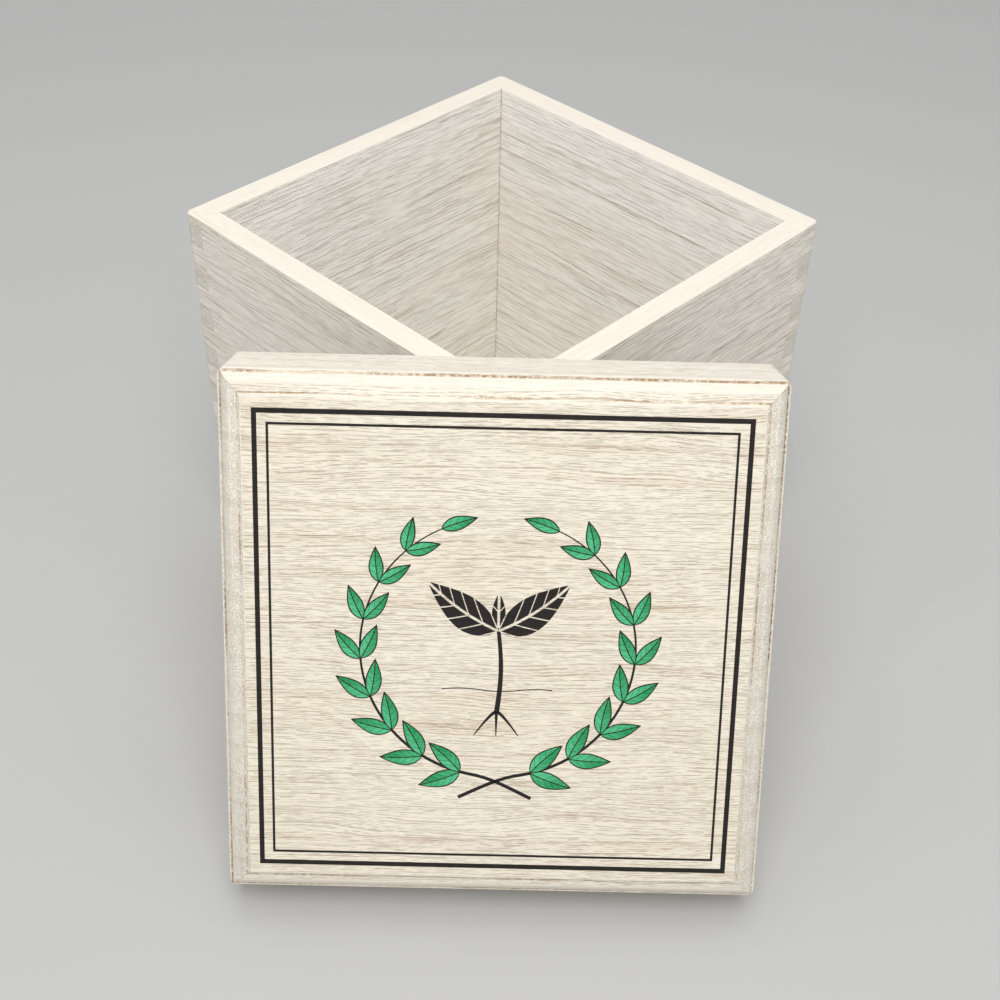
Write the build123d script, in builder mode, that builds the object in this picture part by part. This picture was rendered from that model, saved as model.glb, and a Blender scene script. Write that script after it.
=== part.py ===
"""Seed organizer box: a square finger-jointed box with its lid lifted off and leaning on one corner.

Millimetres, +Z up.  The origin is the centre of the box's underside, on the table, and X and Y
run square to the walls.  The lid fits over the box.  Off it, the lid stands on its lower edge and
hooks over the box's corner, whose two rims carry the inner edge of the lid's upper side.
"""

import os
from math import acos, atan2, ceil, cos, radians, sin, sqrt

from build123d import *

os.makedirs("parts", exist_ok=True)

# Box: four finger-jointed walls
side = 180.0  # outside width of the square box
wall = 10.0  # thickness of the walls
box_height = 166.0
finger = 10.0  # height of one finger of the corner joints
corner_radius = 2.5  # sanding of the upright corners
edge_ease = 0.5  # sanding of the rims, of the lid's mouth and of the moulding's lower edge

# Bottom board, let into a rabbet round the foot of the walls
bottom_thickness = 6.0
rabbet_depth = 5.0
bottom_clearance = 0.2  # all round the board, in its rabbet

# Lid sides, mitred together, which slip down over the walls
lid_wall = 4.0  # thickness of the lid's sides
lid_clearance = 0.5  # between the box and the inside of the lid, all round
lid_depth = 27.0  # from the lid's mouth to the underside of its top

# Lid top, with an edge routed to a ledge, a quarter round and a step up to the flat panel
top_thickness = 10.0
ledge_width = 1.0
round_width = 6.8
round_height = 4.7
step_height = 1.3

# The lid at rest: its lower side stands on the table, its upper side hangs on the box's rims
corner_room = 6.5  # from the box's corner to the underside of the lid's top
lean_offset = 0.8  # how far from the middle of the lid the corner is
lean_gap = 0.3  # between the lid's upper side and the rims
turn_angle = 46.0  # degrees between the lid's lower edge and the front wall

# Sizes that follow from those
inside = side - 2 * wall
rabbet_side = inside + 2 * rabbet_depth
bottom_side = rabbet_side - 2 * bottom_clearance
finger_count = 2 * ceil(box_height / finger / 2)  # whole or part fingers, half of them each wall's
lid_inside = side + 2 * lid_clearance
lid_side = lid_inside + 2 * lid_wall
lid_height = lid_depth + top_thickness

# How far the lid leans: its inner upper edge is just above the rims.  Nearer to upright than
# least_lean it would tip away from the box, so against a taller box it only leans on the corner.
lean_span = lid_side - lid_wall  # from the edge it stands on to the edge it hangs by
least_lean = atan2(lid_height, lid_side)
hook_height = lean_span * cos(least_lean)
hooked = box_height + lean_gap < hook_height
lean = acos(min(box_height + lean_gap, hook_height) / lean_span)
contact_height = min(box_height, lid_side * cos(lean))
corner_depth = lid_depth - corner_room if hooked else -lean_gap  # inside the mouth

# Where the lid is: X along its lower edge, Y up its face, Z out of the face, origin in its mouth
turn = radians(turn_angle)
across = Vector(cos(turn), -sin(turn), 0)
out_of_face = Vector(-sin(turn) * cos(lean), -cos(turn) * cos(lean), sin(lean))
up_face = out_of_face.cross(across)
corner = side / 2 - (1 - 1 / sqrt(2)) * corner_radius  # X and Y of the sanded corner's arris
settle = edge_ease * (cos(lean) + sin(lean) - 1)  # the sanded lower edge lets the lid down
climb = (contact_height - corner_depth * sin(lean) + settle) / cos(lean) - lid_side / 2
contact = Vector(-corner, -corner, contact_height)
mouth_centre = contact - out_of_face * corner_depth - up_face * climb - across * lean_offset
lid_plane = Plane(origin=mouth_centre, x_dir=across, z_dir=out_of_face)
lid_axis = Axis(lid_plane.origin, lid_plane.z_dir)


def quarter_turned(base: Plane, quarter: int) -> Plane:
    """Turns a plane about its own Z by a number of quarter turns, anticlockwise."""
    x_dir = (base.x_dir, base.y_dir, -base.x_dir, -base.y_dir)[quarter]
    return Plane(base.origin, x_dir, base.z_dir)


def comb(quarter: int) -> Sketch:
    """Draws the outside of one wall, 0 being the front one, without every second finger."""
    turned = quarter_turned(Plane.XY, quarter)
    outside = Plane(turned.origin - turned.y_dir * side / 2, turned.x_dir, -turned.y_dir)
    with BuildSketch(outside) as board:
        with Locations((0, box_height / 2)):
            Rectangle(side, box_height)
        for index in range(1 - quarter % 2, finger_count, 2):
            height = box_height / 2 + (index + 0.5 - finger_count / 2) * finger
            with Locations(((wall - side) / 2, height), ((side - wall) / 2, height)):
                Rectangle(wall, finger, mode=Mode.SUBTRACT)
    return board.sketch


# The box's four walls as one sanded shell, with the rabbet for the bottom board
with BuildPart() as box_shell:
    with BuildSketch(Plane.XY):
        RectangleRounded(side, side, corner_radius)
        Rectangle(inside, inside, mode=Mode.SUBTRACT)
    extrude(amount=box_height)
    foot_and_rim = box_shell.edges().group_by(Axis.Z)
    fillet(foot_and_rim[0] + foot_and_rim[-1], edge_ease)
    with BuildSketch(Plane.XY):
        Rectangle(rabbet_side, rabbet_side)
    extrude(amount=bottom_thickness, mode=Mode.SUBTRACT)

# Each wall is its own piece of that shell: fingers of one wall fill the notches of the next
for quarter, name in enumerate(("front_wall", "right_wall", "back_wall", "left_wall")):
    with BuildPart() as box_wall:
        extrude(comb(quarter), amount=-wall)
        add(box_shell.part, mode=Mode.INTERSECT)
    box_wall.part.label = name
    export_step(box_wall.part, f"parts/{name}.step")

with BuildPart() as bottom_board:
    with BuildSketch(Plane.XY):
        Rectangle(bottom_side, bottom_side)
    extrude(amount=bottom_thickness)
bottom_board.part.label = "bottom_board"
export_step(bottom_board.part, "parts/bottom_board.step")

# The lid's four sides as one sanded shell, from its mouth to the underside of its top
with BuildPart() as lid_shell:
    with BuildSketch(lid_plane):
        RectangleRounded(lid_side, lid_side, corner_radius)
        Rectangle(lid_inside, lid_inside, mode=Mode.SUBTRACT)
    extrude(amount=lid_depth)
    fillet(lid_shell.edges().group_by(lid_axis)[0], edge_ease)

# Each side is the quarter of that shell between two mitres
for quarter, name in enumerate(("lid_front_side", "lid_right_side", "lid_back_side", "lid_left_side")):
    with BuildPart() as lid_board:
        with BuildSketch(quarter_turned(lid_plane, quarter)):
            Polygon((0, 0), (-lid_side / 2, -lid_side / 2), (lid_side / 2, -lid_side / 2), align=None)
        extrude(amount=lid_depth)
        add(lid_shell.part, mode=Mode.INTERSECT)
    lid_board.part.label = name
    export_step(lid_board.part, f"parts/{name}.step")

# The top board: its moulding is the same section seen from the front and from the side
ledge_level = lid_height - step_height - round_height
ledge_foot = lid_side / 2 - ledge_width
panel_half = ledge_foot - round_width
round_radius = (round_width**2 + round_height**2) / (2 * round_height)  # level where it meets the step
ease_start = (lid_side / 2, ledge_level - edge_ease)
ease_end = (lid_side / 2 - edge_ease, ledge_level)
round_end = (panel_half, lid_height - step_height)
with BuildPart() as lid_top:
    with BuildSketch(lid_plane.offset(lid_depth)):
        RectangleRounded(lid_side, lid_side, corner_radius)
    extrude(amount=top_thickness)
    for quarter in range(2):
        turned = quarter_turned(lid_plane, quarter)
        with BuildSketch(Plane(turned.origin, turned.x_dir, -turned.y_dir)) as section:
            with BuildLine():
                Polyline((0, lid_depth), (lid_side / 2, lid_depth), ease_start)
                RadiusArc(ease_start, ease_end, -edge_ease)
                Line(ease_end, (ledge_foot, ledge_level))
                RadiusArc((ledge_foot, ledge_level), round_end, -round_radius)
                Polyline(round_end, (panel_half, lid_height), (0, lid_height))
                mirror(about=Plane.YZ)
            make_face()
        extrude(section.sketch, amount=lid_side / 2, both=True, mode=Mode.INTERSECT)
lid_top.part.label = "lid_top"
export_step(lid_top.part, "parts/lid_top.step")
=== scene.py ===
"""Looks of a whitewashed wooden seed box whose lid, lifted off, leans on one corner.

Lengths in the classes are millimetres, as a joiner would give them.  MM turns them into metres where a
mesh or a light takes its place.  A board is drawn in its own axes: X along the grain, Y across it and Z
out of its outer face.  Each board's material uses the same axes, so grain, end grain and relief follow
the way that the board was sawn.
"""

import logging
import math
from dataclasses import dataclass, field, replace
from enum import Enum

import bmesh
import bpy
from bmesh.types import BMEdge, BMesh, BMFace, BMVert
from bpy.types import ID, Material, Node, Object
from bpy.types import NodeSocket as Socket
from mathutils import Euler, Matrix, Vector


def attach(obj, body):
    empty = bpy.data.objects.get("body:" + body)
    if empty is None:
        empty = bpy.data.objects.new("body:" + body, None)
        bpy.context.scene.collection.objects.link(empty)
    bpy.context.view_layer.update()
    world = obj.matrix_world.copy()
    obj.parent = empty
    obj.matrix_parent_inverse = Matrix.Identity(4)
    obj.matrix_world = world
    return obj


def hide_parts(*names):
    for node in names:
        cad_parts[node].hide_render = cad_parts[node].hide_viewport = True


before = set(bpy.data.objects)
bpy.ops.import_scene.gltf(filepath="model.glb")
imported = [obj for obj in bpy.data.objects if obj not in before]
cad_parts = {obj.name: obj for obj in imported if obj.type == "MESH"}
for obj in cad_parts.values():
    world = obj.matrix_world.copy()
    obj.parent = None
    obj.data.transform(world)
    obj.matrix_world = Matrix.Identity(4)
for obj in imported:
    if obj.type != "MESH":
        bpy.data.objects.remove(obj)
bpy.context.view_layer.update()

logging.basicConfig(level=logging.INFO, format="%(message)s")
log = logging.getLogger("seed_box")

MM = 0.001
NEAR = 0.01  # millimetres within which a corner lies on a plane
TINY = 0.0001  # millimetres below which an edge has no length
BROAD = 1.5  # mean width in millimetres above which a face keeps its flat shading to its edges
CORNER = 60.0  # degrees above which an edge is a corner that sandpaper takes off
CREASE = 35.0  # degrees above which an edge is shaded sharp
ROUND = 5  # flats in the rounding of an upright corner
EASED = 3  # flats in the easing of a rim or an arris
USUAL = {"MapRange": {"interpolation_type": "SMOOTHSTEP"}, "Mix": {"data_type": "RGBA"}}
Value = float | tuple | Socket | Node
Pair = tuple[float, float]
Triple = tuple[float, float, float]


def linear(code: str) -> tuple[float, float, float, float]:
    """Turns an sRGB hex colour into linear light.

    Args:
        code: Six hex digits after a hash sign.

    Returns:
        Red, green and blue as linear values, and an alpha of one.
    """
    channels = [int(code[start:start + 2], 16) / 255 for start in (1, 3, 5)]
    light = [c / 12.92 if c <= 0.04045 else ((c + 0.055) / 1.055) ** 2.4 for c in channels]
    return (*light, 1.0)


class Graph:
    """A material being drawn with nodes."""

    def __init__(self, name: str) -> None:
        """Starts an empty material.

        Args:
            name: The material's name.
        """
        self.material = bpy.data.materials.new(name)
        self.material.use_nodes = True
        self.tree = self.material.node_tree
        self.tree.nodes.clear()

    def add(self, kind: str, *values: Value, inputs: dict | None = None, **settings: object) -> Node:
        """Adds one node with its settings and links.

        Args:
            kind: The node's Blender type, after its common first part, with its operation after a dot.
            values: What its first inputs take: a constant, an output, or a node's first open output.
            inputs: The same for inputs that go by name or number.
            settings: Properties to set on the node, over the usual ones of its type.

        Returns:
            The new node.
        """
        kind, _, operation = kind.partition(".")
        node = self.tree.nodes.new(f"ShaderNode{kind}")
        if operation:
            node.operation = operation
        for name, setting in (USUAL.get(kind, {}) | settings).items():
            setattr(node, name, setting)
        for key, value in (*enumerate(values), *(inputs or {}).items()):
            if isinstance(value, Node):
                value = next(output for output in value.outputs if output.enabled)
            if isinstance(value, Socket):
                self.tree.links.new(value, node.inputs[key])
            else:
                node.inputs[key].default_value = value
        return node

    def line(self, distance: Value, width: float) -> Node:
        """Gives one on a soft-edged line of a width, and zero off it."""
        away = self.add("Math.ABSOLUTE", distance)
        return self.add("MapRange", away, width * 0.3, width * 0.7, 1.0, 0.0)

    def clouds(self, place: Value, size: Triple, detail: float = 2.0, roughness: float = 0.5) -> Node:
        """Draws clouds that measure so many millimetres along, across and through the board."""
        cells = self.add("VectorMath.MULTIPLY", place, tuple(1 / length for length in size))
        return self.add("TexNoise", cells, inputs={"Scale": 1.0, "Detail": detail, "Roughness": roughness})

    def glaze(self, tone: Value, *coats: tuple[Value, Value, str]) -> Value:
        """Lays thin coats over a tone.

        Args:
            tone: The colour below them.
            coats: Each coat's pattern, strength and colour, from the lowest up.

        Returns:
            The colour.
        """
        for pattern, strength, colour in coats:
            share = self.add("Math.MULTIPLY", pattern, strength)
            tone = self.add("Mix", inputs={0: share, 6: tone, 7: linear(colour)})
        return tone

    def matt(self, colour: Value, roughness: float, height: Value | None = None,
             relief: float = 0.0) -> Material:
        """Ends the material in a matt surface.

        Args:
            colour: Its colour.
            roughness: How rough it is.
            height: The pattern of its relief.
            relief: The depth of its relief, in millimetres.

        Returns:
            The material.
        """
        inputs = {"Base Color": colour, "Roughness": roughness, "IOR": 1.45, "Specular IOR Level": 0.25}
        if height is not None:
            inputs["Normal"] = self.add("Bump", inputs={"Distance": relief * MM, "Height": height,
                                                        "Strength": 1.0})
        self.add("OutputMaterial", self.add("BsdfPrincipled", inputs=inputs))
        return self.material


class BoardGraph(Graph):
    """The material of one board being drawn.

    Attributes:
        place: The place in millimetres, in the board's axes.
        trunk: The place in the trunk that the board was sawn from, in millimetres.
        facing: How far the surface faces along, across and out of the board.
    """

    def __init__(self, name: str, board: Matrix, seed: float) -> None:
        """Finds out where the surface lies and which way it faces.

        Args:
            name: The material's name.
            board: The board's axes and origin in the object's frame, in metres.
            seed: The board's number, which sets its place in the trunk.
        """
        super().__init__(name)
        coordinates = self.add("TexCoord")
        inverse = board.inverted()
        turn = inverse.to_euler("XYZ")
        self.place = self.add("Mapping", coordinates.outputs["Object"], inverse.translation / MM, turn,
                              (1 / MM,) * 3, vector_type="POINT")
        # Boards come from far apart in the trunk, so that no two match
        self.trunk = self.add("VectorMath.ADD", self.place, (seed * 317.0, seed * 41.0, 0.0))
        normal = self.add("Mapping", coordinates.outputs["Normal"], inputs={"Rotation": turn},
                          vector_type="VECTOR")
        self.facing = [self.add("Math.ABSOLUTE", part) for part in self.add("SeparateXYZ", normal).outputs]


@dataclass(frozen=True)
class Furrows:
    """One set of brushed furrows: thin broken lines along the grain, at uneven spacing."""

    pitch: float  # mean distance between two lines, in millimetres
    width: float
    length: float  # of an unbroken stretch
    strength: float  # how dark they are
    depth: float  # how deep they are beside the material's relief

    def draw(self, graph: BoardGraph, across: Value) -> Node:
        """Draws the furrows.

        Args:
            graph: The board's material.
            across: The place across the grain, in millimetres.

        Returns:
            A pattern that is one in the furrows and zero beside them.
        """
        add = graph.add
        turn = add("Math.DIVIDE", across, self.pitch)
        edge = add("TexVoronoi", inputs={"W": turn, "Scale": 1.0}, voronoi_dimensions="1D",
                   feature="DISTANCE_TO_EDGE")
        share = self.width / self.pitch
        line = add("MapRange", edge, share * 0.25, share * 0.75, 1.0, 0.0)
        # Clouds thinner than the lines' spacing break each line at places of its own
        stretches = graph.clouds(graph.trunk, (self.length, self.pitch * 0.8, self.pitch * 0.8), 1.0)
        return add("Math.MULTIPLY", line, add("MapRange", stretches, 0.42, 0.62))


@dataclass(frozen=True)
class Wood:
    """Whitewashed paulownia, wire-brushed: a pale, open-grained wood under a thin rubbed-back wash.

    The wash leaves the high fibres cream and the brushed-out furrows tan, so the eye reads fine broken
    lines along the grain and a few broad, faint growth bands.  Rims and mouths are planed, which leaves
    them paler and smoother than the faces.
    """

    fleck_and_painted_light: str = "#FAF4E6"  # pigment left thick on the highest fibres, and the paler colour painted as light on the box's inside and the lid's moulding
    wash: str = "#F2EAD8"  # pigment on the rest
    bare: str = "#E6D6B9"  # wood where the wash is rubbed thin
    pore: str = "#A37B4F"  # furrows, open pores and growth lines
    planed: str = "#EBE3D5"  # edges planed after the wash
    end: str = "#FBF5E7"  # end grain, which drinks the wash and stays duller
    end_pore: str = "#A08A63"
    seam_and_shade_colour: str = "#9A7448"  # glue lines, the thin lines along the routed creases and the broad painted shade beside the panel's step
    rings: float = 0.2  # how much the growth bands show
    speckle: float = 0.28  # how much the cut fibres of the end grain show
    relief: float = 0.2  # depth of the brushing, in millimetres
    roughness: float = 0.72
    ring_pitch: float = 11.0  # growth rings of a fast-grown tree, in millimetres
    pith: Pair = (18.0, 62.0)  # across and behind the board's face
    wander: float = 9.0  # how far a grain line strays over the board, in millimetres
    stray: Triple = (70.0, 16.0, 16.0)  # size of one bend of a grain line
    patch: Triple = (90.0, 30.0, 30.0)  # size of a patch where the wash is thin
    cluster: Triple = (60.0, 6.0, 6.0)  # size of a crowd of growth lines
    fibre: Triple = (4.0, 0.36, 0.36)  # size of a bundle of fibres
    grit: Triple = (0.45, 0.45, 0.45)  # size of a cut fibre, as coarse as it needs to be to show
    furrows: tuple[Furrows, ...] = (Furrows(0.62, 0.18, 4.0, 0.4, 0.6), Furrows(1.2, 0.22, 7.0, 0.42, 0.8),
                                    Furrows(4.2, 0.3, 18.0, 0.45, 1.0))

    def material(self, graph: BoardGraph) -> Material:
        """Draws the wood of one board.

        Args:
            graph: The board's empty material.

        Returns:
            The finished material.
        """
        colour, height = self.surface(graph)
        # Seams, crease lines and the lid top's painted shade beside the step darken the colour
        seam_and_shade = self.seams_and_shade(graph)
        if seam_and_shade is not None:
            colour = graph.add("Mix", inputs={0: seam_and_shade, 6: colour, 7: linear(self.seam_and_shade_colour)})
        return graph.matt(colour, self.roughness, height, self.relief)

    def seams_and_shade(self, graph: BoardGraph) -> Node | None:
        """Gives how dark the seams, crease lines and painted shade are; plain wood has none."""
        return None

    def painted_light(self, graph: BoardGraph) -> Node | None:
        """Gives where the colour is painted paler to stand in for light; plain wood has none."""
        return None

    def end_grain(self, graph: BoardGraph) -> Node:
        """Gives one where the fibres are cut across: where a surface faces along the board."""
        return graph.add("MapRange", graph.facing[0], 0.12, 0.35)

    def surface(self, graph: BoardGraph) -> tuple[Node, Node]:
        """Draws the colour and the relief of the wood, without its shader.

        Args:
            graph: The board's material.

        Returns:
            The colour and the height.
        """
        add = graph.add
        end_grain = self.end_grain(graph)
        planed = add("MapRange", graph.facing[1], 0.15, 0.45)
        rings = self.growth(graph)
        fibre = graph.clouds(graph.trunk, self.fibre, 2.0, 0.7)
        marks, depth = self.brushing(graph, fibre)

        # Rims and mouths keep a trace of the furrows and none of the bands
        face = self.face(graph, rings, fibre, marks)
        edge = graph.glaze(linear(self.planed), (marks, 0.35, self.pore))
        face = add("Mix", inputs={0: planed, 6: face, 7: edge})

        grit = add("MapRange", graph.clouds(graph.trunk, self.grit, 2.0, 0.7), 0.44, 0.64)
        end = graph.glaze(linear(self.end), (grit, self.speckle, self.end_pore), (rings, 0.1, self.end_pore))
        colour = add("Mix", inputs={0: end_grain, 6: face, 7: end})

        brushed = add("Math.MULTIPLY_ADD", depth, -1.0, add("Math.MULTIPLY", fibre, -0.5))
        smoother = add("Math.MULTIPLY_ADD", planed, -0.8, 1.0)
        heights = {0: end_grain, 2: add("Math.MULTIPLY", brushed, smoother),
                   3: add("Math.MULTIPLY", grit, -0.8)}
        return colour, add("Mix", inputs=heights, data_type="FLOAT")

    def growth(self, graph: BoardGraph) -> Node:
        """Draws growth rings round a pith that lies behind the board, stretched along the trunk.

        Args:
            graph: The board's material.

        Returns:
            The rings, one in the dense late wood and zero in the rest.
        """
        pith = graph.add("VectorMath.MULTIPLY_ADD", graph.trunk, (0.035, 1.0, 1.0), (0.0, *self.pith))
        shape = {"Scale": 2 * math.pi / 20 / self.ring_pitch, "Distortion": 5.0, "Detail": 2.0,
                 "Detail Scale": 0.06, "Detail Roughness": 0.5}
        rings = graph.add("TexWave", pith, inputs=shape, wave_type="RINGS", rings_direction="X",
                          wave_profile="SAW")
        return graph.add("MapRange", rings.outputs["Fac"], 0.55, 0.98)

    def brushing(self, graph: BoardGraph, fibre: Value) -> tuple[Value, Value]:
        """Draws the furrows along the grain, which wanders a little over the length of the board.

        Args:
            graph: The board's material.
            fibre: The bundles of fibres, which make the furrows waver.

        Returns:
            How dark the furrows are and how deep.
        """
        add = graph.add
        # Across the grain is Y on a face and Z on an edge
        _, high, deep = add("SeparateXYZ", graph.trunk).outputs
        edgeways = add("Math.GREATER_THAN", *graph.facing[1:])
        across = add("Math.MULTIPLY_ADD", add("Math.SUBTRACT", deep, high), edgeways, high)
        stray = graph.clouds(graph.trunk, self.stray, 1.0)
        for waver, amount in ((stray, self.wander), (fibre, 0.4)):
            across = add("Math.MULTIPLY_ADD", waver, amount, across)
        # Each set of furrows starts from a line of its own, so that no two sets fall together
        marks, depth = 0.0, 0.0
        for number, furrows in enumerate(self.furrows):
            line = furrows.draw(graph, add("Math.ADD", across, number * 57.3))
            marks = add("Math.MAXIMUM", marks, add("Math.MULTIPLY", line, furrows.strength))
            depth = add("Math.MAXIMUM", depth, add("Math.MULTIPLY", line, furrows.depth))
        return marks, depth

    def face(self, graph: BoardGraph, rings: Value, fibre: Value, marks: Value) -> Value:
        """Lays the wash on a board's face, rubs it back, and paints it paler where it takes painted light.

        Args:
            graph: The board's material.
            rings: The growth rings.
            fibre: The bundles of fibres.
            marks: How dark the furrows are.

        Returns:
            The colour.
        """
        add = graph.add
        cluster = add("MapRange", graph.clouds(graph.trunk, self.cluster), 0.42, 0.68)
        patch = add("MapRange", graph.clouds(graph.trunk, self.patch), 0.35, 0.7)
        thick = add("MapRange", fibre, 0.5, 0.3)
        thin = add("MapRange", fibre, 0.5, 0.72)
        crowded = add("Math.MULTIPLY_ADD", cluster, 0.85, 0.15)
        band = add("Math.MULTIPLY", rings, crowded)
        stronger = add("Math.MULTIPLY_ADD", cluster, 0.5, 0.75)
        # Where painted light is given, the tone is painted paler to stand in for light: on the box's inside,
        # on the lid's moulding and along the panel's arris
        tone, painted_light = linear(self.wash), self.painted_light(graph)
        if painted_light is not None:
            tone = add("Mix", inputs={0: painted_light, 6: tone, 7: linear(self.fleck_and_painted_light)})
        return graph.glaze(tone, (patch, 0.25, self.bare), (thick, 0.45, self.fleck_and_painted_light), (thin, 0.3, self.bare),
                           (band, self.rings, self.pore), (marks, stronger, self.pore))


@dataclass(frozen=True)
class JointedWood(Wood):
    """The same wood in a finger-jointed board, with thin glue lines round its fingers."""

    half: float = 90.0  # from the board's middle to its end
    depth: float = 10.0  # of the fingers, which is also the boards' thickness
    finger: float = 10.0
    first_line: float = 3.0  # height of the lowest line between two fingers
    glue: float = 0.45  # width of a glue line

    def painted_light(self, graph: BoardGraph) -> Node:
        """Paints the box's inside paler, as painted light that offsets the shade falling inside the box."""
        return graph.add("Math.LESS_THAN", graph.add("SeparateXYZ", graph.place).outputs[2], 0.1 - self.depth)

    def seams_and_shade(self, graph: BoardGraph) -> Node:
        """Draws the lines between the fingers and the one up each inner corner.

        Args:
            graph: The board's material.

        Returns:
            How dark they are.
        """
        add = graph.add
        x, y, _ = add("SeparateXYZ", graph.place).outputs
        shoulder = add("Math.SUBTRACT", add("Math.ABSOLUTE", x), self.half - self.depth)
        beyond = add("Math.GREATER_THAN", shoulder, 0.0)
        rung = add("Math.PINGPONG", add("Math.SUBTRACT", y, self.first_line), self.finger / 2)
        rungs = add("Math.MULTIPLY", graph.line(rung, self.glue), beyond)
        # The corner line runs only on the inside, the part that is painted paler as light
        corner = add("Math.MULTIPLY", graph.line(shoulder, self.glue * 1.6), self.painted_light(graph))
        uneven = add("MapRange", graph.clouds(graph.place, (3.0, 3.0, 3.0)), 0.3, 0.6, 0.12, 0.4)
        return add("Math.MULTIPLY", add("Math.MAXIMUM", rungs, corner), uneven)


@dataclass(frozen=True)
class RoutedWood(Wood):
    """The same wood with a routed moulding: thin darker lines along its creases, a broad painted shade beside
    the panel's step, and a painted highlight on the arris with a paler moulding.
    """

    panel: float = 86.7  # from the middle to the edge of the raised panel
    creases_and_shade: tuple[Triple, ...] = ()  # distance from the middle, width and strength of each crease line, and of the broad painted shade beside the step

    @staticmethod
    def offsets(graph: BoardGraph) -> list[Socket]:
        """Gives how far a place lies from the middle of the square face, along it and across it."""
        return graph.add("SeparateXYZ", graph.add("VectorMath.ABSOLUTE", graph.place)).outputs[:2]

    def end_grain(self, graph: BoardGraph) -> Node:
        """Tells where the fibres are cut across, as on the moulding's two sides.

        Args:
            graph: The board's material.

        Returns:
            One where they are and zero elsewhere.
        """
        add = graph.add
        x, y = self.offsets(graph)
        side = add("Math.GREATER_THAN", x, y)
        beyond = add("MapRange", x, self.panel + 0.1, self.panel + 0.5)
        moulding = add("Math.MULTIPLY", beyond, side)
        return add("Math.MAXIMUM", moulding, super().end_grain(graph))

    def painted_light(self, graph: BoardGraph) -> Node:
        """Paints a highlight along the panel's arris and paints the whole moulding paler, as painted light.

        Args:
            graph: The board's material.

        Returns:
            How much paler it is painted.
        """
        add = graph.add
        reach = add("Math.MAXIMUM", *self.offsets(graph))
        # Painted light: the moulding is painted paler
        moulding = add("MapRange", reach, self.panel - 1.0, self.panel - 0.5, 0.0, 0.7)
        # Painted highlight: a pale line along the panel's arris
        arris = graph.line(add("Math.SUBTRACT", reach, self.panel - 0.1), 1.2)
        return add("Math.MAXIMUM", moulding, arris)

    def seams_and_shade(self, graph: BoardGraph) -> Node:
        """Draws the broken lines along the creases and the corners' mitres, and a broad painted shade beside
        the panel's step.

        Args:
            graph: The board's material.

        Returns:
            How dark they are.
        """
        add = graph.add
        x, y = self.offsets(graph)
        reach = add("Math.MAXIMUM", x, y)
        mitre = graph.line(add("Math.SUBTRACT", x, y), 0.6)
        beyond = add("MapRange", reach, self.panel, self.panel + 0.4, 0.0, 0.4)
        total = add("Math.MULTIPLY", mitre, beyond)
        for distance, width, strength in self.creases_and_shade:
            line = graph.line(add("Math.SUBTRACT", reach, distance), width)
            total = add("Math.MAXIMUM", total, add("Math.MULTIPLY", line, strength))
        fine = graph.clouds(graph.place, (1.4,) * 3, 2.0, 0.6)
        broad = graph.clouds(graph.place, (26.0,) * 3, 1.0)
        broken = add("MapRange", fine, 0.36, 0.6, 0.3, 1.0)
        faded = add("MapRange", broad, 0.38, 0.62, 0.35, 1.0)
        return add("Math.MULTIPLY", total, add("Math.MULTIPLY", broken, faded))


class Colour(Enum):
    """Printing inks, as sRGB."""

    INK = "#221E1C"
    GREEN = "#149450"
    PALE_GREEN = "#5CCB93"


class Veins(Enum):
    """How the veins of a printed leaf show."""

    NONE = "flat ink"
    DRAWN = "dark lines on a coloured blade"
    BARE = "gaps in the ink, where the wood shows"


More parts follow.
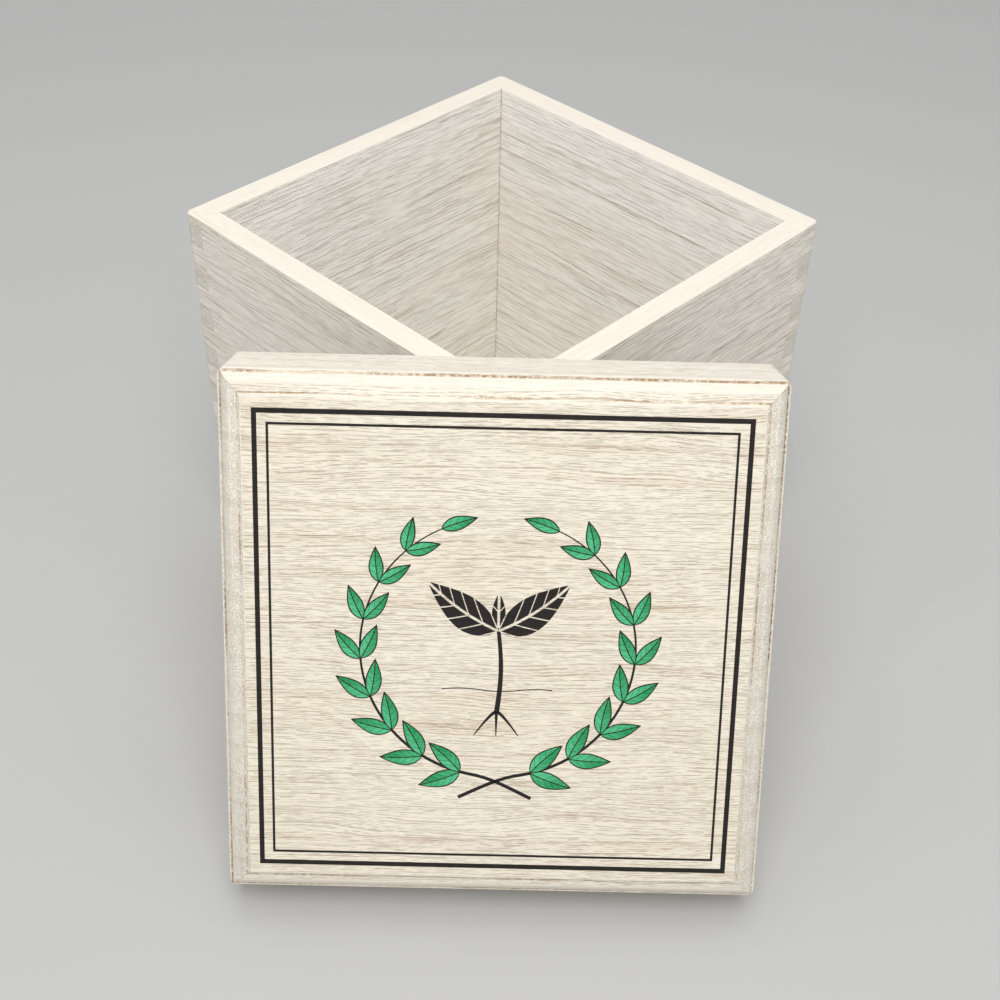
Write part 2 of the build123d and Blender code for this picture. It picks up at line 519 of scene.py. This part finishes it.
@dataclass(frozen=True)
class Ink:
    """Printing ink on brushed wood: flat colour that sinks into the furrows below it."""

    wood: Wood
    cover: float = 0.994  # how well it hides the wood
    outline: float = 0.5  # width of the line round a leaf, in millimetres
    vein: float = 0.3
    vein_pitch: float = 2.6
    bold: float = 2.2  # how much wider and further apart the veins of a large leaf are
    roughness: float = 0.6

    def material(self, graph: BoardGraph, veins: Veins = Veins.NONE) -> Material:
        """Draws one ink.

        Args:
            graph: An empty material of the board that it is printed on.
            veins: How a leaf's veins show.

        Returns:
            The finished material.
        """
        wood, height = self.wood.surface(graph)
        colour, cover = linear(Colour.INK.value), self.cover
        if veins is Veins.DRAWN:
            colour = self.blade(graph)
        elif veins is Veins.BARE:
            gaps = graph.add("Math.MAXIMUM", *self.veins(graph, self.bold))
            cover = graph.add("Math.MULTIPLY_ADD", gaps, -self.cover, self.cover)
        printed = graph.add("Mix", inputs={0: cover, 6: wood, 7: colour})
        return graph.matt(printed, self.roughness, height, self.wood.relief)

    @staticmethod
    def place(graph: Graph) -> list[Socket]:
        """Gives the way along a leaf's midrib, the way across it and the depth inside its outline."""
        leaf = graph.add("Attribute", attribute_name=Print.LEAF).outputs["Vector"]
        return list(graph.add("SeparateXYZ", leaf).outputs)

    def veins(self, graph: Graph, scale: float) -> tuple[Node, Node]:
        """Draws a leaf's midrib and its side veins.

        Args:
            graph: The material being drawn.
            scale: How much wider and further apart than on a small leaf they are.

        Returns:
            The midrib and the side veins, each one on its lines.
        """
        along, across, _ = self.place(graph)
        slant = graph.add("Math.MULTIPLY_ADD", graph.add("Math.ABSOLUTE", across), -1.1, along)
        step = graph.add("Math.PINGPONG", slant, self.vein_pitch * scale / 2)
        return graph.line(across, self.vein * 1.3 * scale), graph.line(step, self.vein * scale * 0.8)

    def blade(self, graph: Graph) -> Node:
        """Draws a leaf's two green halves with their veins and outline.

        Args:
            graph: The material being drawn.

        Returns:
            The colour.
        """
        add = graph.add
        along, across, inside = self.place(graph)
        half = add("MapRange", across, -0.8, 0.8)
        wave = add("Math.SINE", add("Math.MULTIPLY", along, 0.45))
        soft = add("Math.MULTIPLY_ADD", wave, 0.2, add("Math.MULTIPLY_ADD", half, 0.4, 0.3))
        greens = (linear(Colour.GREEN.value), linear(Colour.PALE_GREEN.value))
        green = add("Mix", inputs={0: soft, 6: greens[0], 7: greens[1]})
        rib, side = self.veins(graph, 1.0)
        edge = add("MapRange", inside, self.outline * 0.7, self.outline * 1.1, 1.0, 0.0)
        lines = add("Math.MAXIMUM", add("Math.MAXIMUM", add("Math.MULTIPLY", side, 0.7), rib), edge)
        return add("Mix", inputs={0: lines, 6: green, 7: linear(Colour.INK.value)})


def placed(name: str, data: ID) -> Object:
    """Puts a mesh, a lamp or a camera in the scene.

    Args:
        name: The object's name.
        data: The mesh, lamp or camera.

    Returns:
        Its object, at the origin.
    """
    thing = bpy.data.objects.new(name, data)
    bpy.context.scene.collection.objects.link(thing)
    return thing


def meshed(name: str, shape: BMesh, material: Material) -> Object:
    """Turns a shape into an object in the scene.

    Args:
        name: The object's name.
        shape: The bmesh in metres, which this uses up.
        material: Its finish.

    Returns:
        The object.
    """
    mesh = bpy.data.meshes.new(name)
    shape.to_mesh(mesh)
    shape.free()
    mesh.materials.append(material)
    return placed(name, mesh)


def finished(name: str, shape: BMesh, place: Matrix, material: Material, body: str, slot: str,
             replaces: str | None = None) -> None:
    """Turns a shape in millimetres into a finished piece in metres.

    Args:
        name: The piece's name.
        shape: The bmesh, in its own axes, which this uses up.
        place: The axes and origin of those axes in the frame, in metres.
        material: The piece's finish.
        body: The CAD body that the piece rides on.
        slot: The record's material slot; not used.
        replaces: The CAD node that the piece stands for.
    """
    bmesh.ops.dissolve_degenerate(shape, edges=shape.edges, dist=TINY)
    bmesh.ops.recalc_face_normals(shape, faces=shape.faces)
    shade(shape)
    bmesh.ops.scale(shape, vec=(MM,) * 3, verts=shape.verts)
    bmesh.ops.transform(shape, matrix=place, verts=shape.verts)
    piece = meshed(name, shape, material)
    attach(piece, body)
    if replaces:
        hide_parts(replaces)
    log.info("%s: %d faces", name, len(piece.data.polygons))


def sharp_edges(shape: BMesh, degrees: float = 30.0) -> list[BMEdge]:
    """Lists the edges whose two faces meet at more than an angle."""
    limit = math.radians(degrees)
    return [edge for edge in shape.edges if len(edge.link_faces) == 2 and edge.calc_face_angle(0.0) > limit]


def lies_at(edge: BMEdge, axis: int, *levels: float) -> bool:
    """Tells whether an edge lies at one of some levels along an axis: 0 for X, 1 for Y, 2 for Z."""
    return any(all(abs(vertex.co[axis] - level) < NEAR for vertex in edge.verts) for level in levels)


def shade(shape: BMesh) -> None:
    """Shades a shape smooth, save over its sharp edges and round its broad flat faces.

    Args:
        shape: The bmesh.
    """
    sharp = set(sharp_edges(shape, CREASE))
    broad = {edge for face in shape.faces if 2 * face.calc_area() > BROAD * face.calc_perimeter()
             for edge in face.edges}
    for face in shape.faces:
        face.smooth = True
    for edge in shape.edges:
        edge.smooth = edge not in sharp and edge not in broad


def ease(shape: BMesh, edges: list[BMEdge], width: float, segments: int) -> None:
    """Rounds edges over, as sandpaper or a router bit does."""
    bmesh.ops.bevel(shape, geom=edges, offset=width, offset_type="OFFSET", segments=segments, profile=0.5,
                    affect="EDGES", clamp_overlap=True, material=-1, loop_slide=True)


def thicken(shape: BMesh, faces: list, shift: Triple) -> list:
    """Grows faces by a shift, and leaves a loose sheet in place as the other side.

    Args:
        shape: The bmesh.
        faces: The faces to grow.
        shift: How far and which way they move.

    Returns:
        The faces where they have moved to.
    """
    edges = [edge for edge in shape.edges if not set(edge.link_faces).isdisjoint(faces)]
    grown = bmesh.ops.extrude_face_region(shape, geom=[*faces, *edges])["geom"]
    corners = [part for part in grown if isinstance(part, BMVert)]
    bmesh.ops.translate(shape, vec=shift, verts=corners)
    return [part for part in grown if isinstance(part, BMFace)]


def add_square(shape: BMesh, half: float) -> BMFace:
    """Adds a flat square of a half width round the origin."""
    corners = bmesh.ops.create_grid(shape, x_segments=1, y_segments=1, size=half)["verts"]
    return corners[0].link_faces[0]


@dataclass
class Sides:
    """Four boards round a square, which all are built and dressed in one way."""

    wood: Wood
    side: float  # outside width
    wall: float  # thickness of a board
    seed: float  # of the front board's wood; the next boards count on from it
    nodes: tuple[str, ...]  # anticlockwise from the front
    body: str
    slot: str
    corner_radius: float = 2.5
    base: Matrix = field(default_factory=lambda: Matrix.Identity(4))  # metres

    def build(self) -> None:
        """Builds the boards in place of their CAD nodes."""
        for quarter, node in enumerate(self.nodes):
            place = self.axes(quarter)
            material = self.wood.material(BoardGraph(f"whitewashed_{node}", place, quarter + self.seed))
            finished(f"{node}_board", self.board(quarter), place, material, self.body, self.slot, node)

    def axes(self, quarter: int) -> Matrix:
        """Gives a board's axes: X along it, Y up and Z out of its outer face, from that face's foot.

        Args:
            quarter: 0 for the front board, then anticlockwise.

        Returns:
            The axes in the frame, in metres.
        """
        turned = self.base @ Matrix.Rotation(quarter * math.pi / 2, 4, "Z")
        outside = turned @ Matrix.Translation((0.0, -self.side / 2 * MM, 0.0))
        return outside @ Matrix.Rotation(math.pi / 2, 4, "X")

    def board(self, quarter: int) -> BMesh:
        """Shapes one board in its axes; the box and the lid each have their own."""
        raise NotImplementedError


@dataclass
class Box(Sides):
    """The open box: four finger-jointed walls on a rabbeted bottom board."""

    side: float = 180.0
    wall: float = 10.0
    seed: float = 1.0
    nodes: tuple[str, ...] = ("front_wall", "right_wall", "back_wall", "left_wall")
    body: str = "box"
    slot: str = "whitewashed_walls"
    height: float = 166.0
    finger: float = 10.0
    rim_ease: float = 0.5
    joint_ease: float = 0.12
    rabbet_depth: float = 5.0
    rabbet_height: float = 6.0
    bottom_seed: float = 6.0

    def build(self) -> None:
        """Builds the walls and dresses the bottom board."""
        super().build()
        graph = BoardGraph("whitewashed_bottom", self.base, self.bottom_seed)
        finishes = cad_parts["bottom_board"].data.materials
        finishes.clear()
        finishes.append(self.wood.material(graph))

    def board(self, quarter: int) -> BMesh:
        """Shapes one wall, whose fingers go where its neighbours have none.

        Args:
            quarter: 0 for the front wall, then anticlockwise.

        Returns:
            The board.
        """
        half = self.side / 2
        pocket = self.shoulder + self.rabbet_depth
        shape = bmesh.new()
        add_square(shape, 1.0)
        bmesh.ops.scale(shape, vec=(half, self.height / 2, 1.0), verts=shape.verts)
        bmesh.ops.translate(shape, vec=(0.0, self.height / 2, 0.0), verts=shape.verts)
        count = int(self.height // self.finger) + 1
        rows = [self.first_line + line * self.finger for line in range(count)]
        for distance in (-pocket, -self.shoulder, self.shoulder, pocket):
            self.cut(shape, (distance, 0.0, 0.0), (1.0, 0.0, 0.0))
        for height in (*rows, self.rabbet_height):
            self.cut(shape, (0.0, height, 0.0), (0.0, 1.0, 0.0))
        notches = [face for face in shape.faces if self.in_notch(face, quarter % 2)]
        bmesh.ops.delete(shape, geom=notches, context="FACES")
        back = list(shape.faces)
        for layer in (self.rabbet_depth, self.wall - self.rabbet_depth):
            grown = thicken(shape, back, (0.0, 0.0, -layer))
            back = [face for face in grown if not self.in_pocket(face, pocket)]
        bmesh.ops.recalc_face_normals(shape, faces=shape.faces)
        bmesh.ops.dissolve_limit(shape, angle_limit=0.001, verts=shape.verts, edges=shape.edges)
        self.round_edges(shape)
        return shape

    @property
    def first_line(self) -> float:
        """Height of the lowest line between two fingers, which are centred on the walls."""
        return self.height / 2 % self.finger

    @property
    def shoulder(self) -> float:
        """Distance from a board's middle to where its fingers start."""
        return self.side / 2 - self.wall

    @staticmethod
    def cut(shape: BMesh, point: tuple, normal: tuple) -> None:
        """Cuts the faces along a plane and keeps both sides."""
        everything = shape.verts[:] + shape.edges[:] + shape.faces[:]
        bmesh.ops.bisect_plane(shape, geom=everything, dist=NEAR, plane_co=point, plane_no=normal)

    def in_notch(self, face: BMFace, odd: int) -> bool:
        """Tells whether a face of the side view lies where a neighbour's finger goes."""
        middle = face.calc_center_median()
        return abs(middle.x) > self.shoulder and (middle.y - self.first_line) // self.finger % 2 == odd

    def in_pocket(self, face: BMFace, pocket: float) -> bool:
        """Tells whether a face of the side view lies in the rabbet."""
        middle = face.calc_center_median()
        return abs(middle.x) < pocket and middle.y < self.rabbet_height

    def in_joint(self, edge: BMEdge) -> bool:
        """Tells whether an edge of the rim or the foot lies between two boards, where it stays square."""
        finger = lies_at(edge, 2, -self.wall) and abs(sum(v.co.x for v in edge.verts)) > 2 * self.shoulder
        return finger or lies_at(edge, 0, -self.shoulder, self.shoulder)

    def round_edges(self, shape: BMesh) -> None:
        """Sands the upright corners, then the rim and the foot, then the arrises of the joints.

        Args:
            shape: The square board.
        """
        half = self.side / 2
        tips = [edge for edge in shape.edges if lies_at(edge, 2, 0.0) and lies_at(edge, 0, -half, half)]
        ease(shape, tips, self.corner_radius, ROUND)
        for distance in (-self.shoulder, self.shoulder):
            self.cut(shape, (distance, 0.0, 0.0), (1.0, 0.0, 0.0))
        rims = [edge for edge in sharp_edges(shape)
                if lies_at(edge, 1, 0.0, self.height) and not self.in_joint(edge)]
        ease(shape, rims, self.rim_ease, EASED)
        ease(shape, sharp_edges(shape, CORNER), self.joint_ease, 1)


@dataclass
class Lid(Sides):
    """The lifted-off lid: a moulded top on four thin, mitred sides."""

    side: float = 189.0
    wall: float = 4.0
    seed: float = 11.0
    nodes: tuple[str, ...] = ("lid_front_side", "lid_right_side", "lid_back_side", "lid_left_side")
    body: str = "lid"
    slot: str = "lid_sides"
    top_wood: RoutedWood = RoutedWood()
    mouth_ease: float = 0.5
    ledge_width: float = 1.0
    round_width: float = 6.8
    round_height: float = 4.7
    step_height: float = 1.3
    arris: float = 0.9  # rounding of the panel's edge
    batter: float = 0.05  # how far the step leans in
    top_seed: float = 31.0
    depth: float = field(init=False)
    height: float = field(init=False)

    def __post_init__(self) -> None:
        """Reads the lid's axes and levels off its CAD nodes.

        The base has X along the lid's lower edge, Y up its face, Z out of its face, and its origin in
        the middle of the mouth.
        """
        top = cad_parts["lid_top"].data
        out = max((face for face in top.polygons if face.normal.z > 0), key=lambda face: face.area).normal
        across = Vector((0.0, 0.0, 1.0)).cross(out).normalized()
        turn = Matrix((across, out.cross(across), out))
        low, high = self.extent(turn, "lid_top")
        mouth = self.extent(turn, *self.nodes)[0].z
        centre = Vector(((low.x + high.x) / 2, (low.y + high.y) / 2, mouth))
        self.base = turn.transposed().to_4x4() @ Matrix.Translation(centre)
        self.depth = (low.z - mouth) / MM
        self.height = (high.z - mouth) / MM
        panel = self.side / 2 - self.ledge_width - self.round_width
        # The first two creases get thin darker lines, at the ledge and at the foot of the step; the last is a
        # broad painted shade on the round beside the step
        creases_and_shade = ((self.side / 2 - self.ledge_width, 0.7, 0.9), (panel + 0.6, 0.65, 0.7),
                   (panel + 1.6, 3.0, 0.15))
        self.top_wood = replace(self.top_wood, panel=panel, creases_and_shade=creases_and_shade)

    @staticmethod
    def extent(turn: Matrix, *nodes: str) -> list[Vector]:
        """Gives the lowest and the highest place of some CAD nodes in turned axes."""
        places = [turn @ vertex.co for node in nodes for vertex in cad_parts[node].data.vertices]
        return [Vector(pick(axis) for axis in zip(*places)) for pick in (min, max)]

    def build(self) -> None:
        """Builds the sides and the top."""
        super().build()
        material = self.top_wood.material(self.graph("whitewashed_lid_top"))
        finished("lid_top_board", self.top(), self.base, material, self.body, "printed_top", "lid_top")

    def graph(self, name: str) -> BoardGraph:
        """Starts a material in the axes and the grain of the top board."""
        return BoardGraph(name, self.base, self.top_seed)

    def board(self, quarter: int) -> BMesh:
        """Shapes one side: a thin board with mitred ends and half of each rounded corner.

        Args:
            quarter: Which side it is; all four are alike.

        Returns:
            The board.
        """
        half, radius = self.side / 2, self.corner_radius
        steps = 4
        arc = [math.radians(45 * step / steps) for step in range(steps + 1)]
        corner = [(half - radius + radius * math.sin(a), radius * math.cos(a) - radius) for a in arc]
        outside = corner[::-1] + [(-x, z) for x, z in corner]
        inside = [(self.wall - half, -self.wall), (half - self.wall, -self.wall)]
        shape = bmesh.new()
        ring = [shape.verts.new((x, 0.0, z)) for x, z in outside + inside]
        mouth = shape.faces.new(ring)
        thicken(shape, [mouth], (0.0, self.depth, 0.0))
        bmesh.ops.recalc_face_normals(shape, faces=shape.faces)
        rims = [edge for edge in sharp_edges(shape, CORNER) if lies_at(edge, 1, 0.0)
                and abs(edge.verts[0].co.z - edge.verts[1].co.z) < self.wall / 2]
        ease(shape, rims, self.mouth_ease, EASED)
        return shape

    def top(self) -> BMesh:
        """Routes the top board's moulding: a ledge, a quarter round and a step up to the panel.

        Returns:
            The board in the lid's axes.
        """
        half = self.side / 2
        ledge = self.height - self.step_height - self.round_height
        shape = bmesh.new()
        add_square(shape, half)
        bmesh.ops.translate(shape, vec=(0.0, 0.0, self.depth), verts=shape.verts)
        panel = thicken(shape, shape.faces[:], (0.0, 0.0, ledge - self.depth))[0]
        radius = (self.round_width**2 + self.round_height**2) / (2 * self.round_height)
        sweep = math.asin(self.round_width / radius)
        steps = 10
        angles = [sweep * (1 - step / steps) for step in range(steps + 1)]
        bead = [(radius * (math.sin(a) - math.sin(b)), radius * (math.cos(b) - math.cos(a)))
                for a, b in zip(angles, angles[1:])]
        for width, rise in ((self.ledge_width, 0.0), *bead, (self.batter, self.step_height)):
            bmesh.ops.inset_region(shape, faces=[panel], thickness=width, use_even_offset=True)
            bmesh.ops.translate(shape, vec=(0.0, 0.0, rise), verts=panel.verts)
        bmesh.ops.recalc_face_normals(shape, faces=shape.faces)
        uprights = [edge for edge in shape.edges
                    if lies_at(edge, 0, -half, half) and lies_at(edge, 1, -half, half)]
        ease(shape, uprights, self.corner_radius, ROUND)
        ledges = [edge for edge in sharp_edges(shape, CORNER) if lies_at(edge, 2, ledge)
                  and max(abs(c) for v in edge.verts for c in v.co.xy) > half - self.ledge_width / 2]
        ease(shape, ledges, self.mouth_ease, EASED)
        arris = [edge for edge in sharp_edges(shape, CORNER) if lies_at(edge, 2, self.height)]
        ease(shape, arris, self.arris, EASED)
        return shape


@dataclass(frozen=True)
class Sprig:
    """One printed leaf: where it starts, where it points, and its size."""

    x: float
    y: float
    heading: float  # degrees anticlockwise from the lid's lower edge
    length: float
    width: float
    bend: float = 0.1  # how far the tip curves aside, as a share of the length


@dataclass
class Print:
    """The design printed on the lid: a double frame line round a wreath and a seedling."""

    lid: Lid
    ink: Ink
    frame_half: float = 82.5  # from the middle to the outside of the thick line
    frame_lines: tuple[Pair, ...] = ((0.0, 1.7), (4.7, 0.85))  # inset and width
    film: float = 0.04
    leaf_film: float = 0.052
    overlap: float = 0.0005  # how much higher each leaf lies than the one printed before it
    wreath_radius: float = 47.0
    leaf_pairs: int = 8
    first_pair: float = 15.0  # how far round from the wreath's foot it grows, in degrees
    pair_step: float = 17.5  # from one pair to the next
    pair_leaf: Triple = (15.5, 6.2, 0.12)  # length, width and bend
    tip_leaf: Triple = (13.0, 5.0, 0.1)
    spread: Pair = (42.0, 36.0)  # turn of a pair's outer and inner leaf from the stem
    dwindle: float = 0.03  # how much smaller each pair is, as a share of the first
    tail: float = 13.0  # how far the stems run past their crossing, in degrees of the wreath
    flare: float = 0.018  # how fast the tails leave the ring
    stem_width: Pair = (1.3, 0.4)  # at the tail and at the tip
    sprout: Triple = (8.0, 31.0, 1.2)  # the seedling's top, its stem's length and sway
    sprout_width: Pair = (1.3, 1.8)  # at the top and at the foot
    soil: Triple = (38.0, -14.5, 0.5)  # length, level and ripple of its line
    soil_width: Pair = (0.35, 0.35)
    root: Triple = (-22.5, 7.5, 9.0)  # where a root starts, its spread and its depth
    root_width: Pair = (1.2, 0.3)
    seed_leaves: tuple[Sprig, ...] = (Sprig(0.0, 8.0, 90.0, 13.0, 4.6, 0.0),
                                      Sprig(0.0, 7.0, 24.0, 29.0, 12.0, 0.2),
                                      Sprig(0.0, 7.0, 156.0, 29.0, 12.0, -0.2))

    LEAF = "leaf_place"

    def build(self) -> None:
        """Prints the frame, the wreath and the seedling, with the leaves over the stems."""
        base = self.lid.base @ Matrix.Translation((0.0, 0.0, self.lid.height * MM))
        dark = self.ink.material(self.lid.graph("dark_ink"))
        green = self.ink.material(self.lid.graph("green_ink"), Veins.DRAWN)
        veined = self.ink.material(self.lid.graph("veined_dark_ink"), Veins.BARE)
        parts = (("frame_lines", self.frame_shape(), dark, self.film),
                 ("wreath_stems", self.stems(), dark, self.film),
                 ("wreath_leaves", self.leaves(self.wreath()), green, self.leaf_film),
                 ("seedling_stem", self.seedling_stem(), dark, self.film),
                 ("seedling_leaves", self.leaves(self.seed_leaves), veined, self.leaf_film))
        for name, shape, material, film in parts:
            thicken(shape, shape.faces[:], (0.0, 0.0, film))
            finished(f"printed_{name}", shape, base, material, "lid", "printed_top")

    def frame_shape(self) -> BMesh:
        """Draws the two square lines.

        Returns:
            A flat sheet, as are the shapes below.
        """
        shape = bmesh.new()
        for inset, width in self.frame_lines:
            square = add_square(shape, self.frame_half - inset)
            bmesh.ops.inset_region(shape, faces=[square], thickness=width, use_boundary=True,
                                   use_even_offset=True)
            bmesh.ops.delete(shape, geom=[square], context="FACES")
        return shape

    @property
    def reach(self) -> float:
        """How far round from the wreath's foot each stem grows, in degrees."""
        return self.first_pair + self.leaf_pairs * self.pair_step

    def on_stem(self, side: int, turn: float) -> Triple:
        """Finds a place on a stem.

        Args:
            side: -1 for the left stem, 1 for the right one.
            turn: How far round from the wreath's foot it is, in degrees.

        Returns:
            Its X and Y and the stem's heading there, in degrees.
        """
        angle = math.radians(side * turn - 90)
        x, y = (self.wreath_radius * f(angle) for f in (math.cos, math.sin))
        return x, y, side * turn + (0 if side > 0 else 180)

    def wreath(self) -> list[Sprig]:
        """Lays leaves in pairs along the two stems, with one leaf at each tip.

        Returns:
            The leaves, in the order in which they overlap.
        """
        sprigs = []
        for side in (-1, 1):
            for pair in range(self.leaf_pairs):
                x, y, heading = self.on_stem(side, self.first_pair + pair * self.pair_step)
                length, width, bend = self.pair_leaf
                size = 1.0 - self.dwindle * pair
                for lean, spread in zip((-side, side), self.spread):
                    sprigs.append(Sprig(x, y, heading + lean * spread, length * size, width * size,
                                        -bend * lean))
            x, y, heading = self.on_stem(side, self.reach)
            length, width, bend = self.tip_leaf
            sprigs.append(Sprig(x, y, heading, length, width, bend * side))
        return sprigs

    def leaves(self, sprigs: list[Sprig] | tuple[Sprig, ...]) -> BMesh:
        """Shapes leaves as blades, widest before the middle, with an attribute for the place on a blade.

        Args:
            sprigs: The leaves, each of which lies over the one before it.

        Returns:
            The blades.
        """
        shape = bmesh.new()
        place = shape.verts.layers.float_vector.new(self.LEAF)
        for layer, sprig in enumerate(sprigs):
            turn = Matrix.Rotation(math.radians(sprig.heading), 2)
            start = Vector((sprig.x, sprig.y))
            for vertex in bmesh.ops.create_grid(shape, x_segments=14, y_segments=4, size=1.0)["verts"]:
                share, across = (vertex.co.x + 1) / 2, vertex.co.y
                half = sprig.width / 2 * math.sin(math.pi * share**0.85) ** 0.9 * (1.12 - 0.25 * share)
                along = sprig.length * share
                curve = sprig.bend * sprig.length * share**2
                spot = start + turn @ Vector((along, across * half + curve))
                vertex.co = (spot.x, spot.y, layer * self.overlap)
                vertex[place] = (along, across * half, (1 - abs(across)) * half)
        bmesh.ops.remove_doubles(shape, verts=shape.verts, dist=self.overlap / 2)
        return shape

    def stems(self) -> BMesh:
        """Draws the wreath's two stems, which cross at its foot and run on in flared tails.

        Returns:
            The strokes.
        """
        shape = bmesh.new()
        for side in (-1, 1):
            turns = [-self.tail + (self.reach + self.tail) * step / 48 for step in range(49)]
            angles = [math.radians(side * turn - 90) for turn in turns]
            radii = [self.wreath_radius + self.flare * max(0.0, 10.0 - turn)**2 for turn in turns]
            points = [(r * math.cos(a), r * math.sin(a)) for r, a in zip(radii, angles)]
            self.stroke(shape, points, self.stem_width)
        return shape

    def seedling_stem(self) -> BMesh:
        """Draws the seedling's swaying stem, the rippled line of the soil and the three roots.

        Returns:
            The strokes.
        """
        shape = bmesh.new()
        shares = [step / 20 for step in range(21)]
        top, length, sway = self.sprout
        stem = [(sway * math.sin(share * math.pi), top - length * share) for share in shares]
        self.stroke(shape, stem, self.sprout_width)
        length, level, ripple = self.soil
        soil = [(length * share - length / 2, level + ripple * math.sin(share * 9.0)) for share in shares]
        self.stroke(shape, soil, self.soil_width)
        start, spread, depth = self.root
        for lean in (-1, 0, 1):
            root = [(lean * (0.2 + spread * share**0.8), start - depth * share) for share in shares]
            self.stroke(shape, root, self.root_width)
        return shape

    @staticmethod
    def stroke(shape: BMesh, points: list[Pair], widths: Pair) -> None:
        """Draws a tapered line through points.

        Args:
            shape: The bmesh that takes its faces.
            points: The middle of the line.
            widths: Its width at the first point and at the last.
        """
        spots = [Vector(point) for point in points]
        pairs = []
        for index, spot in enumerate(spots):
            ahead = spots[min(index + 1, len(spots) - 1)] - spots[max(index - 1, 0)]
            aside = Vector((-ahead.y, ahead.x)).normalized()
            half = (widths[0] + (widths[1] - widths[0]) * index / (len(spots) - 1)) / 2
            pairs.append([shape.verts.new((*(spot + aside * half * sign), 0.0)) for sign in (-1, 1)])
        for (a, b), (c, d) in zip(pairs, pairs[1:]):
            shape.faces.new((a, c, d, b))


@dataclass(frozen=True)
class Lamp:
    """A square soft light that faces a point."""

    name: str
    place: Triple
    target: Triple
    size: float
    power: float  # in watts

    def hang(self) -> None:
        """Hangs the lamp in the scene."""
        data = bpy.data.lights.new(self.name, "AREA")
        data.size = self.size * MM
        data.energy = self.power
        lamp = placed(self.name, data)
        lamp.location = Vector(self.place) * MM
        lamp.rotation_euler = (Vector(self.target) - Vector(self.place)).to_track_quat("-Z", "Y").to_euler()


@dataclass
class Studio:
    """Plain pale floor, soft light and the camera."""

    camera_place: Triple = (-378.7, -364.0, 474.8)
    camera_turn: Triple = (48.777, -1.162, -45.307)  # degrees about X, Y and Z
    lens: float = 53.76
    sensor: float = 36.0
    floor_half: float = 6000.0
    floor_colour: str = "#BFBFBD"
    floor_roughness: float = 0.8
    sky_colour: str = "#F4F5F7"
    sky_strength: float = 0.64
    lamps: tuple[Lamp, ...] = (
        Lamp("overhead", (-20.0, 60.0, 1200.0), (-20.0, -20.0, 80.0), 900.0, 3.4),
        Lamp("front", (-540.0, -520.0, 1170.0), (-20.0, -20.0, 90.0), 800.0, 8.4))

    def build(self) -> None:
        """Sets up the floor, the lamps, the world and the camera."""
        scene = bpy.context.scene
        scene.view_settings.view_transform = "Standard"
        shape = bmesh.new()
        add_square(shape, self.floor_half * MM)
        pale = Graph("pale_floor").matt(linear(self.floor_colour), self.floor_roughness)
        meshed("floor", shape, pale)
        for lamp in self.lamps:
            lamp.hang()
        world = bpy.data.worlds.new("studio")
        world.use_nodes = True
        background = world.node_tree.nodes["Background"]
        background.inputs["Color"].default_value = linear(self.sky_colour)
        background.inputs["Strength"].default_value = self.sky_strength
        scene.world = world
        data = bpy.data.cameras.new("camera")
        data.lens = self.lens
        data.sensor_width = self.sensor
        scene.camera = placed("camera", data)
        scene.camera.location = Vector(self.camera_place) * MM
        scene.camera.rotation_euler = Euler([math.radians(angle) for angle in self.camera_turn], "XYZ")


def main() -> None:
    """Builds the box, the lid, its print and the studio."""
    long_furrows = (Furrows(0.8, 0.2, 8.0, 0.35, 0.6), Furrows(1.8, 0.28, 20.0, 0.42, 0.9),
                    Furrows(4.4, 0.3, 45.0, 0.45, 1.0))
    # The box's fleck colour is also the paler colour painted as light on its inside
    box_wood = JointedWood(fleck_and_painted_light="#FFFDF8", wash="#F9F3E8", bare="#F0E5D3", pore="#9A7F58", end="#FAF4E8",
                           end_pore="#A0845C", rings=0.15, speckle=0.2, relief=0.25, wander=5.0,
                           furrows=long_furrows)
    # The lid's sides take a paler copy of the wood, painted lighter to match the light that falls on the
    # lid's upturned side
    lid_wood = Wood(fleck_and_painted_light="#FFFBF3", wash="#F7F1E4", bare="#EADFC9")
    Box(box_wood).build()
    lid = Lid(lid_wood)
    lid.build()
    Print(lid, Ink(lid.top_wood)).build()
    Studio().build()


if __name__ == "__main__":
    main()
